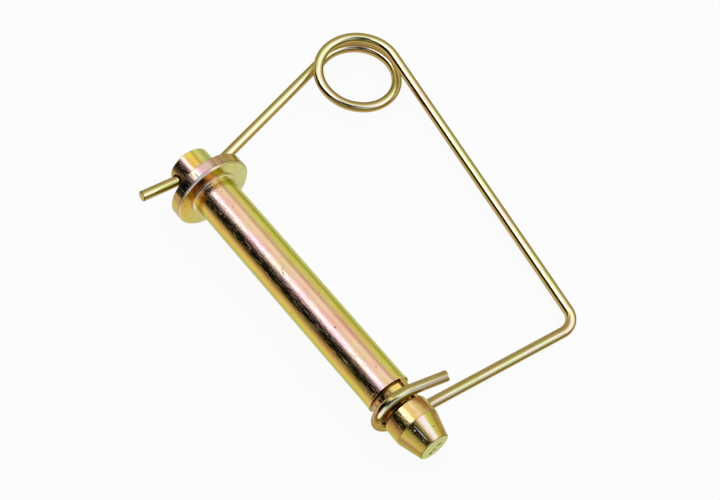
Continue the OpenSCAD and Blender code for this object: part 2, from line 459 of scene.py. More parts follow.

# Colours of the plating round the pin, with painted reflections laid in: a painted highlight near the top
# (0.5) and painted dark bands and lines. Each stop is a place round it, then red, green and blue. The place
# runs from the under side over the coil's side, the top (0.5) and the near side back to the under side.
PIN_BANDS = [
    (0.03, 0.62, 0.5, 0.16), (0.1, 0.7, 0.46, 0.32), (0.17, 0.55, 0.56, 0.14), (0.25, 0.52, 0.54, 0.26),
    (0.278, 0.5, 0.51, 0.22), (0.306, 0.54, 0.54, 0.15), (0.322, 0.5, 0.46, 0.09),
    (0.336, 0.37, 0.33, 0.035), (0.35, 0.5, 0.47, 0.06), (0.372, 0.6, 0.56, 0.12),
    (0.389, 0.66, 0.52, 0.16), (0.402, 0.6, 0.4, 0.2), (0.41, 0.56, 0.33, 0.2), (0.42, 0.76, 0.5, 0.33),
    (0.433, 0.91, 0.65, 0.42), (0.452, 0.84, 0.57, 0.38), (0.466, 0.84, 0.56, 0.44),
    (0.48, 0.88, 0.64, 0.62), (0.505, 0.66, 0.46, 0.48), (0.53, 0.7, 0.46, 0.38), (0.555, 0.6, 0.4, 0.18),
    (0.58, 0.4, 0.25, 0.05), (0.598, 0.38, 0.24, 0.045), (0.611, 0.56, 0.33, 0.095),
    (0.625, 0.7, 0.47, 0.12), (0.64, 0.74, 0.56, 0.105), (0.658, 0.68, 0.55, 0.1),
    (0.68, 0.56, 0.49, 0.14), (0.7, 0.54, 0.51, 0.24), (0.75, 0.6, 0.6, 0.38), (0.88, 0.66, 0.48, 0.24),
]
# HEAD_BANDS, RIM_BANDS and NOSE_BANDS likewise hold painted highlights and painted dark bands over the
# plating's tints.
HEAD_BANDS = [
    (0.15, 0.6, 0.5, 0.2), (0.25, 0.5, 0.34, 0.2), (0.292, 0.5, 0.54, 0.24), (0.32, 0.42, 0.42, 0.15),
    (0.34, 0.38, 0.37, 0.11), (0.361, 0.46, 0.52, 0.15), (0.38, 0.6, 0.62, 0.15), (0.396, 0.7, 0.6, 0.12),
    (0.412, 0.5, 0.4, 0.07), (0.422, 0.5, 0.38, 0.07), (0.437, 0.88, 0.68, 0.11),
    (0.458, 0.84, 0.66, 0.1), (0.474, 0.7, 0.48, 0.13), (0.49, 0.8, 0.66, 0.4), (0.507, 0.82, 0.62, 0.58),
    (0.53, 0.85, 0.56, 0.46), (0.556, 0.9, 0.64, 0.28), (0.583, 0.18, 0.11, 0.03),
    (0.605, 0.16, 0.08, 0.02), (0.622, 0.4, 0.22, 0.07), (0.66, 0.5, 0.38, 0.12),
    (0.75, 0.58, 0.52, 0.28), (0.88, 0.62, 0.48, 0.2),
]
RIM_BANDS = [
    (0.15, 0.6, 0.5, 0.2), (0.264, 0.6, 0.6, 0.4), (0.29, 0.32, 0.26, 0.12), (0.306, 0.22, 0.15, 0.03),
    (0.322, 0.48, 0.36, 0.07), (0.34, 0.36, 0.22, 0.04), (0.365, 0.38, 0.26, 0.09),
    (0.385, 0.38, 0.22, 0.11), (0.403, 0.44, 0.32, 0.13), (0.417, 0.4, 0.2, 0.15),
    (0.435, 0.66, 0.5, 0.38), (0.455, 0.76, 0.52, 0.47), (0.474, 0.84, 0.52, 0.56),
    (0.49, 0.74, 0.6, 0.54), (0.51, 0.96, 0.7, 0.72), (0.53, 0.46, 0.3, 0.26), (0.56, 0.26, 0.17, 0.14),
    (0.575, 0.06, 0.04, 0.03), (0.602, 0.05, 0.03, 0.012), (0.611, 0.48, 0.31, 0.09),
    (0.632, 0.58, 0.28, 0.16), (0.655, 0.74, 0.48, 0.12), (0.68, 0.66, 0.46, 0.2),
    (0.706, 0.54, 0.42, 0.26), (0.75, 0.52, 0.36, 0.26), (0.88, 0.62, 0.48, 0.2),
]
NOSE_BANDS = [
    (0.15, 0.6, 0.5, 0.2), (0.264, 0.5, 0.44, 0.16), (0.3, 0.58, 0.41, 0.13), (0.322, 0.44, 0.26, 0.07),
    (0.342, 0.26, 0.11, 0.025), (0.361, 0.52, 0.31, 0.1), (0.38, 0.72, 0.45, 0.13),
    (0.403, 0.65, 0.44, 0.15), (0.417, 0.74, 0.54, 0.22), (0.435, 0.98, 0.76, 0.36),
    (0.455, 0.82, 0.62, 0.2), (0.474, 0.8, 0.62, 0.2), (0.49, 0.9, 0.8, 0.5), (0.51, 0.8, 0.66, 0.4),
    (0.53, 0.5, 0.34, 0.1), (0.556, 0.46, 0.28, 0.06), (0.583, 0.42, 0.24, 0.06),
    (0.605, 0.4, 0.22, 0.06), (0.625, 0.58, 0.3, 0.08), (0.645, 0.66, 0.42, 0.06),
    (0.67, 0.6, 0.48, 0.07), (0.7, 0.48, 0.44, 0.12), (0.735, 0.5, 0.48, 0.24), (0.88, 0.62, 0.48, 0.2),
]
# The groove's floor: the plating's tint with painted reflections of the wire and of the groove's walls, and
# a painted dark band.
GROOVE_BANDS = [
    (0.2, 0.5, 0.4, 0.18), (0.315, 0.62, 0.5, 0.19), (0.345, 0.78, 0.6, 0.2), (0.372, 0.95, 0.7, 0.17),
    (0.41, 0.98, 0.7, 0.17), (0.44, 0.9, 0.66, 0.24), (0.458, 0.8, 0.6, 0.32), (0.475, 0.3, 0.17, 0.05),
    (0.5, 0.16, 0.08, 0.03), (0.54, 0.2, 0.1, 0.03), (0.565, 0.62, 0.3, 0.09), (0.6, 0.64, 0.36, 0.13),
    (0.625, 0.3, 0.15, 0.05), (0.655, 0.6, 0.4, 0.26), (0.7, 0.6, 0.52, 0.3), (0.8, 0.4, 0.3, 0.14),
]
# The groove's sloping wall: painted shade, dark brown nearly all round.
WALL_BANDS = [
    (0.2, 0.4, 0.26, 0.1), (0.33, 0.16, 0.08, 0.02), (0.38, 0.09, 0.04, 0.01), (0.41, 0.2, 0.08, 0.015),
    (0.44, 0.42, 0.18, 0.03), (0.475, 0.5, 0.24, 0.05), (0.5, 0.2, 0.1, 0.03), (0.54, 0.1, 0.05, 0.02),
    (0.58, 0.26, 0.12, 0.04), (0.63, 0.4, 0.21, 0.09), (0.67, 0.4, 0.24, 0.13), (0.75, 0.3, 0.2, 0.1),
]
# The broken edge under the collar and the low step's face carry painted highlights where they face the
# room's pale end.
EDGE_BANDS = [
    (0.25, 0.42, 0.34, 0.14), (0.36, 0.46, 0.37, 0.15), (0.4, 0.62, 0.52, 0.28), (0.43, 0.97, 0.93, 0.82),
    (0.55, 0.97, 0.92, 0.82), (0.585, 0.3, 0.24, 0.12), (0.61, 0.3, 0.22, 0.08), (0.66, 0.74, 0.58, 0.3),
    (0.72, 0.8, 0.62, 0.46), (0.8, 0.62, 0.48, 0.26),
]
STEP_BANDS = [
    (0.25, 0.6, 0.48, 0.2), (0.34, 0.78, 0.64, 0.34), (0.38, 0.98, 0.88, 0.66), (0.46, 1.0, 0.9, 0.7),
    (0.52, 0.98, 0.8, 0.54), (0.58, 0.98, 0.82, 0.56), (0.66, 0.94, 0.8, 0.5), (0.72, 0.7, 0.54, 0.26),
]
# The collar's under face is painted darker where it mirrors the shank: a painted reflection of the shank.
FACE_BANDS = [
    (0.2, 0.6, 0.6, 0.28), (0.35, 0.62, 0.58, 0.23), (0.41, 0.58, 0.46, 0.12), (0.455, 0.64, 0.38, 0.09),
    (0.49, 0.66, 0.27, 0.07), (0.53, 0.34, 0.14, 0.03), (0.58, 0.34, 0.16, 0.03),
    (0.62, 0.58, 0.32, 0.06), (0.67, 0.68, 0.46, 0.09), (0.75, 0.64, 0.54, 0.13), (0.85, 0.6, 0.56, 0.2),
]
# The nose's flat end, the head's end and the collar's upper face keep nearly one pale tint.
TIP_BANDS = [(0.3, 0.55, 0.6, 0.27), (0.7, 0.58, 0.6, 0.25)]
# The taper: the plating's tints with a painted white highlight and painted dark bands.
TAPER_BANDS = [
    (0.05, 0.62, 0.5, 0.16), (0.25, 0.52, 0.46, 0.28), (0.285, 0.44, 0.32, 0.14),
    (0.31, 0.42, 0.26, 0.085), (0.335, 0.4, 0.25, 0.06), (0.347, 0.3, 0.22, 0.03),
    (0.361, 0.38, 0.33, 0.045), (0.38, 0.54, 0.48, 0.06), (0.4, 0.6, 0.52, 0.09), (0.412, 0.8, 0.7, 0.4),
    (0.428, 0.96, 0.93, 0.84), (0.446, 0.95, 0.9, 0.8), (0.46, 0.88, 0.72, 0.44),
    (0.474, 0.44, 0.34, 0.1), (0.5, 0.52, 0.4, 0.14), (0.55, 0.5, 0.38, 0.08), (0.575, 0.66, 0.44, 0.09),
    (0.6, 0.68, 0.46, 0.11), (0.613, 0.6, 0.42, 0.12), (0.628, 0.42, 0.24, 0.08),
    (0.645, 0.46, 0.25, 0.06), (0.667, 0.52, 0.34, 0.06), (0.69, 0.49, 0.38, 0.08),
    (0.72, 0.46, 0.42, 0.14), (0.76, 0.5, 0.5, 0.24), (0.95, 0.62, 0.5, 0.16),
]
# Colours of the wire on its far and near sides, from its under side (0) to its upper side (1): its own gold
# tint with a painted highlight by the upper side, darker painted reflection towards its edges and a painted
# dark line on its near side.
WIRE_FAR = [
    (0.3, 0.58, 0.42, 0.17), (0.5, 0.47, 0.35, 0.14), (0.7, 0.4, 0.31, 0.12), (0.81, 0.26, 0.205, 0.055),
    (0.89, 0.34, 0.27, 0.085), (0.94, 0.46, 0.385, 0.135), (0.965, 0.64, 0.54, 0.24),
    (0.98, 0.9, 0.81, 0.47), (0.991, 1.0, 0.98, 0.78),
]
WIRE_NEAR = [
    (0.3, 0.58, 0.42, 0.17), (0.5, 0.58, 0.38, 0.31), (0.7, 0.58, 0.41, 0.22), (0.81, 0.53, 0.37, 0.12),
    (0.885, 0.3, 0.205, 0.04), (0.935, 0.15, 0.1, 0.016), (0.965, 0.26, 0.195, 0.05),
    (0.982, 0.66, 0.58, 0.28), (0.992, 1.0, 0.98, 0.78),
]
# Single marks in the pin's own directions: place, turn in degrees and half lengths, in metres.
RIM_MARKS = [((-0.00247, -0.00501, 0.01388), (0, 0, 0), (0.00150, 0.00016, 0.0006))]
SHANK_MARKS = [
    ((0.0700, -0.0013, 0.0079), (0, 0, 20), (0.00045, 0.00030, 0.0004)),
    ((0.0378, 0.0009, 0.0080), (0, 0, 0), (0.00040, 0.00018, 0.0004)),
    ((0.0416, -0.0015, 0.0079), (0, 0, 15), (0.00050, 0.00014, 0.0004)),
    ((0.0430, -0.0025, 0.0076), (0, 0, -10), (0.00060, 0.00016, 0.0004)),
    ((0.0120, -0.0007, 0.0080), (0, 0, 0), (0.00035, 0.00022, 0.0004)),
]
FACE_MARKS = [((-0.0008, -0.0121, 0.0035), (0, 0, 0), (0.0004, 0.00045, 0.00025))]
TIP_MARKS = [
    ((0.1208, 0.0020, -0.0003), (0, 0, 0), (0.0006, 0.0013, 0.00075)),
    ((0.1208, -0.0001, -0.0016), (0, 0, 0), (0.0006, 0.0010, 0.00075)),
    ((0.1208, -0.0015, -0.0026), (0, 0, 0), (0.0006, 0.0008, 0.00110)),
]
TAPER_BRIGHT = [
    ((0.11644, -0.00252, 0.00648), (0, 15.5, 5.65), (0.0041, 0.00014, 0.0004)),
    ((0.1145, -0.00352, 0.00665), (0, 0, 20), (0.00050, 0.00028, 0.0004)),
]

# How strongly each mark of the finish shows in the colour, the roughness and the height.
STREAK_TINT, PIT_AND_SHADE_TINT = 0.3, 0.85
STREAK_ROUGH, GRAIN_ROUGH, FLECK_ROUGH, PIT_ROUGH, WEAR_AND_HIGHLIGHT_ROUGH = 0.08, 0.05, 0.9, 0.55, 0.65
LINE_HEIGHT, GRAIN_HEIGHT, PIT_HEIGHT = 3.6, 0.35, -0.8


def strongest(tree, value, masks):
    """The strongest of a value, which may be missing, and some masks."""
    for mask in masks:
        value = mask if value is None else maths(tree, "MAXIMUM", value, mask)
    return value


def marks_at(tree, place, marks, rings):
    """Masks for single marks and for rings, from their stated places."""
    for at, turn, size in marks:
        turn = [math.radians(a) for a in turn]
        yield placed(tree, mark_group(), Place=place, At=at, Turn=turn, Size=size)["Mark"]
    for at, half, share in rings:
        ring = placed(tree, ring_group(), Place=place, At=at, Half=half)["Ring"]
        yield maths(tree, "MULTIPLY", ring, share)


def rib_height(tree, place, start, end, pitch, height):
    """Shallow ribs across the steel between two places along it."""
    run = parts(tree, place)["X"]
    fade = 2 * MM
    held = maths(tree, "MULTIPLY", step(tree, run, start, start + fade), step(tree, run, end, end - fade))
    wave = maths(tree, "SINE", maths(tree, "MULTIPLY", run, 2.0 * math.pi / pitch))
    return maths(tree, "MULTIPLY", maths(tree, "MULTIPLY", wave, held), height)


def plated_steel(
    name, looks, place_of, tint_of, clouds, pits, dark=(), bright=(), dark_rings=(), bright_rings=(),
    lines=0.5, depth=0.055, edge=(0.82, 0.84, 0.58), ribs=None,
):
    """Yellow chromate over steel: tints, clouds, drawn lines with gold flecks, pits, single marks, and rings
    that paint highlights and shade along edges.

    clouds is their scale, length and strength, pits their scale and share, depth the bump's depth in mm.
    """
    material = bpy.data.materials.new(name)
    material.use_nodes = True
    tree = material.node_tree
    tree.nodes.clear()
    place = place_of(tree)
    cloud_scale, cloud_length, cloud_strength = clouds
    cloud = placed(tree, clouds_group(), Place=place, Scale=cloud_scale, Length=cloud_length)
    drawn = placed(tree, lines_group(), Place=place)
    # Bright marks: real scratches, and painted highlights in the bright rings along edges.
    wear_and_highlight = strongest(tree, None, marks_at(tree, place, bright, bright_rings))
    # Dark marks: real pits and single marks, and painted shade in the dark rings along edges.
    pit_and_edge_shade = placed(tree, pits_group(), Place=place, Scale=pits[0], Share=pits[1])["Pit"]
    pit_and_edge_shade = strongest(tree, pit_and_edge_shade, marks_at(tree, place, dark, dark_rings))

    def share(mask, strength):
        return maths(tree, "MULTIPLY", mask, strength)

    def add(mask, strength, value):
        return maths(tree, "MULTIPLY_ADD", mask, strength, value)

    tint = tint_of(tree, place)
    tint = blend(tree, share(cloud["Pink"], cloud_strength), tint, tuple(looks.pink), "MULTIPLY")
    tint = blend(tree, share(cloud["Green"], cloud_strength), tint, tuple(looks.green), "MULTIPLY")
    tint = blend(tree, share(drawn["Streak"], STREAK_TINT * lines), tint, tuple(looks.streak), "MULTIPLY")
    if wear_and_highlight is not None:
        tint = blend(tree, wear_and_highlight, tint, tuple(looks.wear_and_highlight))
    tint = blend(tree, share(pit_and_edge_shade, PIT_AND_SHADE_TINT), tint, tuple(looks.pit_and_edge_shade))
    # Gold flecks: the drawn lines' grain, partly a painted glint in the dark band.
    tint = blend(tree, share(drawn["Fleck"], lines), tint, tuple(looks.fleck_and_glint))
    rough = add(drawn["Streak"], STREAK_ROUGH * lines, looks.roughness)
    rough = add(drawn["Fleck"], FLECK_ROUGH * lines, add(cloud["Grain"], GRAIN_ROUGH, rough))
    rough = maths(tree, "MAXIMUM", rough, share(pit_and_edge_shade, PIT_ROUGH))
    if wear_and_highlight is not None:
        rough = maths(tree, "MAXIMUM", rough, share(wear_and_highlight, WEAR_AND_HIGHLIGHT_ROUGH))
    height = share(drawn["Height"], LINE_HEIGHT * looks.streaks * lines)
    height = add(pit_and_edge_shade, PIT_HEIGHT, add(cloud["Grain"], GRAIN_HEIGHT, height))
    if ribs:
        height = maths(tree, "ADD", height, rib_height(tree, place, **ribs))
    bump = lay(tree, "Bump", {"Height": height, "Strength": 1.0, "Distance": depth * MM})
    steel = lay(
        tree, "BsdfPrincipled",
        {"Base Color": tint, "Metallic": 1.0, "Roughness": rough, "Normal": bump.outputs["Normal"],
         "Specular Tint": (*edge, 1.0)},
    )
    lay(tree, "OutputMaterial", {"Surface": steel.outputs["BSDF"]})
    return material


def banded(bands):
    """Tints, partly the plating's and partly painted reflections, that change round the pin, where 0.5 lies
    on the upper side towards -Y.
    """
    def tint_of(tree, place):
        band = placed(tree, bands_group(), Place=place, Facing=FACING, Stretch=0.06, Drift=0.07)["Band"]
        return ramp(tree, band, bands)
    return tint_of


def wire_tint(tree, _place):
    """A painted highlight along the wire's upper side, olive painted reflection on its far side, and tan
    with a painted dark line on its near side.
    """
    lean = parts(tree, lay(tree, "UVMap", uv_map="Lean").outputs["UV"])
    near_share = step(tree, lean["Y"], 0.33, 0.49)
    return blend(tree, near_share, ramp(tree, lean["X"], WIRE_FAR), ramp(tree, lean["X"], WIRE_NEAR))


def wire_place(tree):
    """The wire's own map, rolled back into a straight round bar so that no seam shows."""
    bar_r = bpy.context.scene.hitch_wire_sizes.wire_d / 2
    split = parts(tree, lay(tree, "UVMap", uv_map="Wire run").outputs["UV"])
    turn = maths(tree, "MULTIPLY", split["Y"], 2.0 * math.pi)
    y = maths(tree, "MULTIPLY", maths(tree, "SINE", turn), bar_r)
    z = maths(tree, "MULTIPLY", maths(tree, "COSINE", turn), bar_r)
    return lay(tree, "CombineXYZ", {"X": split["X"], "Y": y, "Z": z}).outputs["Vector"]


def pin_place(tree):
    """Object coordinates turned so that X runs along the pin."""
    turned = {"Vector": lay(tree, "TexCoord").outputs["Object"], "Rotation": (0.0, -LAY_TILT, 0.0)}
    return lay(tree, "Mapping", turned).outputs["Vector"]


# ---------------------------------------------------------------- the pin

PIN_SIDES, HOLE_SIDES, WIRE_SIDES = 240, 96, 60
FINISHES = ("shank", "face", "taper", "tip", "head", "rim", "groove", "nose", "wall", "edge", "step")


class HITCH_OT_turn_pin(bpy.types.Operator):
    """Turns the pin from its outline, presses its groove and drills its head"""

    bl_idname = "hitch.turn_pin"
    bl_label = "Turn the pin"

    def execute(self, context):
        sizes = context.scene.hitch_pin_sizes
        looks = context.scene.hitch_plating
        bm = bmesh.new()
        self.turn(bm, sizes)
        self.zone(bm, sizes)
        self.press_groove(bm, sizes)
        bmesh.ops.transform(bm, matrix=LAY, verts=bm.verts)
        bmesh.ops.recalc_face_normals(bm, faces=bm.faces)
        for face in bm.faces:
            face.smooth = True
        pin = new_object("plated_pin", bm, self.steels(looks, sizes))
        self.drill(pin, sizes)
        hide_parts("pin_body")
        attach(pin, "pin")
        return {"FINISHED"}

    def steels(self, looks, s):
        """The pin's finishes, in the order of FINISHES."""
        grip_end, taper_at, tip_at = self.stations(s)
        under, top = -s.step_h, -s.step_h - s.collar_t

        def steel(name, bands, clouds, pits, *marks, **more):
            tint_of = banded(bands)
            return plated_steel("Plated " + name, looks, pin_place, tint_of, clouds, pits, *marks, **more)

        # Clouds, pits, and rings along the edges, by place, half width and strength. The bright rings paint
        # highlights along edges, the dark rings paint shade along them.
        soft, pale, broad = (260.0, 0.25, 0.75), (330.0, 1.0, 0.8), (240.0, 1.0, 0.8)
        few, many, small, rare = (420.0, 0.10), (420.0, 0.14), (500.0, 0.06), (500.0, 0.05)
        painted_edge_highlights = [(grip_end - 0.1 * MM, 0.16 * MM, 0.3), (-0.13 * MM, 0.12 * MM, 0.5)]
        head_edge = [(top - s.head_len + 0.1 * MM, 0.3 * MM, 0.8)]
        collar_edges = [(under - s.collar_break - 0.2 * MM, 0.22 * MM, 0.7), (top, 0.25 * MM, 0.8)]
        groove_corner = [(grip_end + s.groove_w - 0.5 * MM, 0.65 * MM, 0.6)]
        taper_edge, tip_edge = [(taper_at, 0.22 * MM, 0.75)], [(tip_at, 0.3 * MM, 0.8)]
        made = {
            "shank": steel("shank", PIN_BANDS, soft, (480.0, 0.16), SHANK_MARKS, bright_rings=painted_edge_highlights),
            "face": steel("face", FACE_BANDS, pale, rare, FACE_MARKS, lines=0.15),
            "taper": steel("taper", TAPER_BANDS, soft, many, bright=TAPER_BRIGHT, dark_rings=tip_edge),
            "tip": steel("tip", TIP_BANDS, pale, small, TIP_MARKS, lines=0.15),
            "head": steel("head", HEAD_BANDS, soft, few, dark_rings=head_edge),
            "rim": steel("rim", RIM_BANDS, broad, few, RIM_MARKS, dark_rings=collar_edges),
            "groove": steel("groove", GROOVE_BANDS, soft, few, dark_rings=groove_corner),
            "nose": steel("nose", NOSE_BANDS, soft, many, dark_rings=taper_edge, lines=0.75),
            "wall": steel("wall", WALL_BANDS, soft, few, lines=0.15),
            "edge": steel("edge", EDGE_BANDS, pale, rare, lines=0.15),
            "step": steel("step", STEP_BANDS, pale, rare, lines=0.15),
        }
        return [made[name] for name in FINISHES]

    def stations(self, s):
        """Where the shank, the nose's straight and the taper end."""
        taper_at = s.grip_len + s.groove_w + s.nose_straight
        return s.grip_len, taper_at, taper_at + s.nose_taper

    def ridge_lean(self, s):
        """How far the groove's sloping side runs on past its edge, up to the ridge's height."""
        return s.groove_side / s.groove_depth * s.ridge_h

    def bridge_middle(self, s):
        """The bridge's middle, as an angle from the pin's upper side towards +Y."""
        return math.acos(1.0 - 2.0 * s.groove_depth / s.shank_d) + s.bridge_arc / 2

    def zone(self, bm, s):
        """Gives each face the finish of its part of the pin."""
        bm.normal_update()
        for face in bm.faces:
            face.material_index = FINISHES.index(self.finish_of(face, s))

    def finish_of(self, face, s):
        """The finish of one face, from its place along the pin and round it."""
        grip_end, taper_at, _ = self.stations(s)
        # Reach of the wall's painted shade along the pin and round it, and of the bridge's own finish round
        # it.
        wall_reach, wall_arc, bridge_margin = 0.95 * MM, math.radians(4.0), math.radians(-2.5)
        lean = self.ridge_lean(s)
        collar_top = -s.step_h - s.collar_t
        middle = face.calc_center_median()
        u = middle.x
        if grip_end - lean < u < grip_end + s.groove_w + lean:
            off = abs(math.atan2(middle.y, middle.z) - self.bridge_middle(s)) - s.bridge_arc / 2
            if off < bridge_margin:
                return "shank"
            return "wall" if u < grip_end + wall_reach or off < wall_arc else "groove"
        if abs(face.normal.x) > 0.9:
            if u > taper_at or u < -s.step_h - s.collar_t / 2:
                return "tip"
            return "step" if abs(u) < s.step_h / 2 else "face"
        if u > taper_at:
            return "taper"
        if u > -s.step_h:
            return "nose" if u > grip_end else "shank"
        if u > -s.step_h - s.collar_break - s.edge_round / 2:
            return "edge"
        return "rim" if u > collar_top else "head"

    def outline(self, s):
        """Half outline of the pin, as places along the axis and radii, with the rounding of each corner."""
        shank_r = s.shank_d / 2
        floor_r = shank_r - s.groove_depth
        ridge_r = shank_r + s.ridge_h
        slope = s.ridge_w / 3
        collar_under = -s.step_h
        collar_top = collar_under - s.collar_t
        head_top = collar_top - s.head_len
        groove_end = s.grip_len + s.groove_w
        _, taper_at, tip_at = self.stations(s)
        lean = self.ridge_lean(s)
        small, fine = s.edge_round, s.edge_round / 2
        ramp_round, ridge_round, floor_round = 1.0 * MM, 0.5 * MM, 1.2 * MM
        rows = [
            (head_top, 0.0, 0.0),
            (head_top, s.head_d / 2 - s.head_break, s.head_break / 2),
            (head_top + s.head_break, s.head_d / 2, s.head_break / 2),
            (collar_top, s.head_d / 2, small),
            (collar_top, s.collar_d / 2, small),
            (collar_under - s.collar_break, s.collar_d / 2, small),
            (collar_under, s.collar_d / 2 - s.collar_break, small),
            (collar_under, s.step_d / 2, small),
            (0.0, s.step_d / 2, 2 * small),
            (0.0, shank_r, small),
            (s.grip_len - s.ridge_w, shank_r, ramp_round),
            (s.grip_len - s.ridge_w + slope, ridge_r, ridge_round),
            (s.grip_len - lean, ridge_r, small),
            (s.grip_len + s.groove_side, floor_r, floor_round),
            (groove_end - s.groove_side, floor_r, floor_round),
            (groove_end + lean, ridge_r, small),
            (taper_at, ridge_r, small),
            (tip_at - s.tip_break, s.tip_d / 2, fine),
            (tip_at, s.tip_d / 2 - s.tip_break, fine),
            (tip_at, 0.0, 0.0),
        ]
        return [Vector(row[:2]) for row in rows], [row[2] for row in rows]

    def turn(self, bm, s):
        """Spins the outline once round the pin's axis, which is +X here."""
        points, radii = self.outline(s)
        verts = [bm.verts.new((p.x, 0.0, p.y)) for p in rounded(points, radii)]
        edges = [bm.edges.new(pair) for pair in zip(verts, verts[1:])]
        bmesh.ops.spin(
            bm, geom=verts + edges, cent=(0, 0, 0), axis=(1, 0, 0), dvec=(0, 0, 0),
            angle=2 * math.pi, steps=PIN_SIDES, use_merge=True,
        )
        bmesh.ops.remove_doubles(bm, verts=bm.verts, dist=1e-6)

    def press_groove(self, bm, s):
        """Lifts the groove back to the bridge where the pressing stops."""
        shank_r = s.shank_d / 2
        ridge_r = shank_r + s.ridge_h
        bridge_r = shank_r - s.bridge_drop
        slope = s.ridge_w / 3
        groove_end = s.grip_len + s.groove_w
        middle = self.bridge_middle(s)
        half = s.bridge_arc / 2
        ease = math.radians(3.0)
        for vert in bm.verts:
            u = vert.co.x
            if not s.grip_len - s.groove_side < u < groove_end + s.groove_side:
                continue
            r = math.hypot(vert.co.y, vert.co.z)
            if r > ridge_r - 1e-6:
                continue
            off = abs(math.atan2(vert.co.y, vert.co.z) - middle)
            lift = 1.0 - smooth(half - ease, half + ease, off)
            near = min(u - s.grip_len, groove_end - u)
            bridge = ridge_r + (bridge_r - ridge_r) * smooth(0.0, 2 * slope, near)
            new_r = r + (max(bridge, r) - r) * lift
            vert.co.y *= new_r / r
            vert.co.z *= new_r / r

    def drill(self, pin, s):
        """Cuts the cross-hole with a round bar along the wire's hinge axis."""
        bm = bmesh.new()
        turn = Vector((0, 0, 1)).rotation_difference(HOLE_DIR).to_matrix().to_4x4()
        bmesh.ops.create_cone(
            bm, cap_ends=True, segments=HOLE_SIDES, radius1=s.hole_d / 2, radius2=s.hole_d / 2,
            depth=2 * s.head_d, matrix=Matrix.Translation(HOLE_MID) @ turn,
        )
        bar = new_object("drill_bar", bm, [])
        cut = pin.modifiers.new("Cross-hole", "BOOLEAN")
        cut.operation = "DIFFERENCE"
        cut.solver = "EXACT"
        cut.object = bar
        before = len(pin.data.polygons)
        keep_modifiers(pin)
        bpy.data.objects.remove(bar)
        if len(pin.data.polygons) == before:
            raise RuntimeError("the cross-hole could not be cut")
        even_shading(pin)


# ---------------------------------------------------------------- the wire

